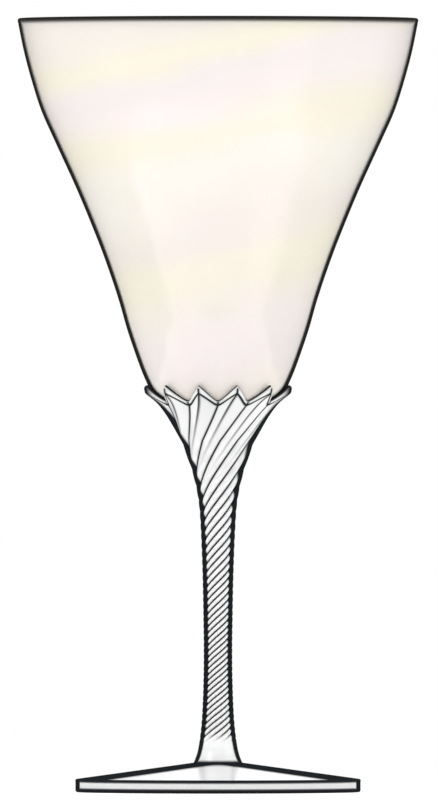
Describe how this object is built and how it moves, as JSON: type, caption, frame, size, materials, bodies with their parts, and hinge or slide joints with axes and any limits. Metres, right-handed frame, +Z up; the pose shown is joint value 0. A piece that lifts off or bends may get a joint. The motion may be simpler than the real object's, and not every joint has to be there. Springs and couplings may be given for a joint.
{
  "type": "water goblet",
  "caption": "Stemmed water goblet with a flared iridescent bowl held in a scalloped calyx, on a spirally fluted clear stem and a low round foot.",
  "frame": {"origin": "centre of the foot's underside, on the surface that the goblet stands on", "axes": "+Z up the stem's axis to the rim; -Y is the side that the picture shows, with a valley of the calyx in its middle"},
  "size_m": [0.1036, 0.1036, 0.2],
  "materials": {
    "iridescent_glass": "pearly iridescent film in soft cream, pink, lilac and pale yellow patches, glossy",
    "clear_stem_glass": "clear pressed and twisted glass, fire polished",
    "clear_foot_glass": "clear glass, fire polished"
  },
  "bodies": {
    "root": {"bowl": "iridescent_glass", "stem_and_calyx": "clear_stem_glass", "foot": "clear_foot_glass"}
  },
  "joints": []
}
